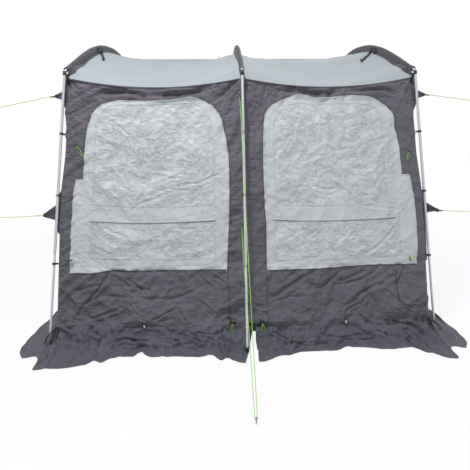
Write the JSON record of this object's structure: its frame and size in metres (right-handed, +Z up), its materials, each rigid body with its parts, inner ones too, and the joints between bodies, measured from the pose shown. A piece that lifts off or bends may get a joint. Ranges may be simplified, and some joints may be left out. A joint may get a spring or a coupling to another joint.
{
  "type": "caravan porch awning",
  "caption": "Lightweight porch awning for a touring caravan, with hoop poles, adjustable front legs, zipped front doors, mud flaps and guy ropes.",
  "frame": {"origin": "on the floor, midway between the two sides and midway between the front edge of the mud flaps and the back of the rear pads", "axes": "+Z up, +Y towards the caravan, +X to the right of someone who looks at the front from outside"},
  "size_m": [3.6007, 3.0523, 2.3731],
  "materials": {
    "wall_cloth": "matte",
    "roof_cloth": "matte",
    "door_cloth": "matte",
    "window_film": "gloss",
    "flap_sheet": "satin",
    "leg_steel": "satin",
    "rod_glass_fibre": "satin",
    "black_plastic": "matte",
    "foot_rubber": "matte",
    "rail_vinyl": "satin",
    "pad_foam_cloth": "matte",
    "rope_lime": "matte",
    "peg_steel": "satin"
  },
  "bodies": {
    "root": {"hoop_rod_left": "rod_glass_fibre", "hoop_sleeve_left": "wall_cloth", "leg_knuckle_left": "black_plastic", "leg_upper_left": "leg_steel", "pole_clip_left_top": "black_plastic", "pole_clip_left_middle": "black_plastic", "pole_clip_left_low": "black_plastic", "hoop_rod_centre": "rod_glass_fibre", "hoop_sleeve_centre": "wall_cloth", "leg_knuckle_centre": "black_plastic", "leg_upper_centre": "leg_steel", "pole_clip_centre_top": "black_plastic", "pole_clip_centre_middle": "black_plastic", "pole_clip_centre_low": "black_plastic", "hoop_rod_right": "rod_glass_fibre", "hoop_sleeve_right": "wall_cloth", "leg_knuckle_right": "black_plastic", "leg_upper_right": "leg_steel", "pole_clip_right_top": "black_plastic", "pole_clip_right_middle": "black_plastic", "pole_clip_right_low": "black_plastic", "front_surround": "wall_cloth", "roof_left": "roof_cloth", "side_wall_left": "wall_cloth", "rear_pad_left": "pad_foam_cloth", "mud_flap_front_left": "flap_sheet", "mud_flap_side_left": "flap_sheet", "guy_tab_upper_left": "wall_cloth", "guy_rope_upper_left": "rope_lime", "guy_tab_lower_left": "wall_cloth", "guy_rope_lower_left": "rope_lime", "roof_right": "roof_cloth", "side_wall_right": "wall_cloth", "rear_pad_right": "pad_foam_cloth", "mud_flap_front_right": "flap_sheet", "mud_flap_side_right": "flap_sheet", "guy_tab_upper_right": "wall_cloth", "guy_rope_upper_right": "rope_lime", "guy_tab_lower_right": "wall_cloth", "guy_rope_lower_right": "rope_lime", "rail_strip": "rail_vinyl", "guy_rope_centre_high": "rope_lime", "guy_rope_centre_low": "rope_lime", "ground_peg": "peg_steel"},
    "leg_left": {"leg_lower_left": "leg_steel", "leg_foot_left": "foot_rubber"},
    "leg_centre": {"leg_lower_centre": "leg_steel", "leg_foot_centre": "foot_rubber"},
    "leg_right": {"leg_lower_right": "leg_steel", "leg_foot_right": "foot_rubber"},
    "door_left": {"door_skirt_left": "wall_cloth", "door_panel_left": "door_cloth", "window_upper_left": "window_film", "window_lower_left": "window_film"},
    "zip_left": {"zip_slider_left": "black_plastic"},
    "door_right": {"door_skirt_right": "wall_cloth", "door_panel_right": "door_cloth", "window_upper_right": "window_film", "window_lower_right": "window_film"},
    "zip_right": {"zip_slider_right": "black_plastic"}
  },
  "joints": [
    {"name": "door_left_swing", "type": "hinge", "parent": "root", "child": "door_left", "pos_m": [-1.24672, -0.8675, 0.13], "axis": [-0.0436, -0.1841, -0.9819], "range_deg": [0, 85]},
    {"name": "door_right_swing", "type": "hinge", "parent": "root", "child": "door_right", "pos_m": [1.2694, -0.86489, 0.13], "axis": [-0.0443, 0.1822, 0.9823], "range_deg": [0, 85]},
    {"name": "leg_left_slide", "type": "slide", "parent": "root", "child": "leg_left", "axis": [0.0554, 0.1741, 0.9832], "range_m": [-0.08, 0.35]},
    {"name": "leg_centre_slide", "type": "slide", "parent": "root", "child": "leg_centre", "axis": [0, 0.2509, 0.968], "range_m": [-0.08, 0.35]},
    {"name": "leg_right_slide", "type": "slide", "parent": "root", "child": "leg_right", "axis": [-0.077, 0.1195, 0.9898], "range_m": [-0.08, 0.35]},
    {"name": "zip_left_slide", "type": "slide", "parent": "root", "child": "zip_left", "axis": [0.0038, 0.2239, 0.9746], "range_m": [0, 1]},
    {"name": "zip_right_slide", "type": "slide", "parent": "root", "child": "zip_right", "axis": [-0.0049, 0.2243, 0.9745], "range_m": [0, 1]}
  ]
}
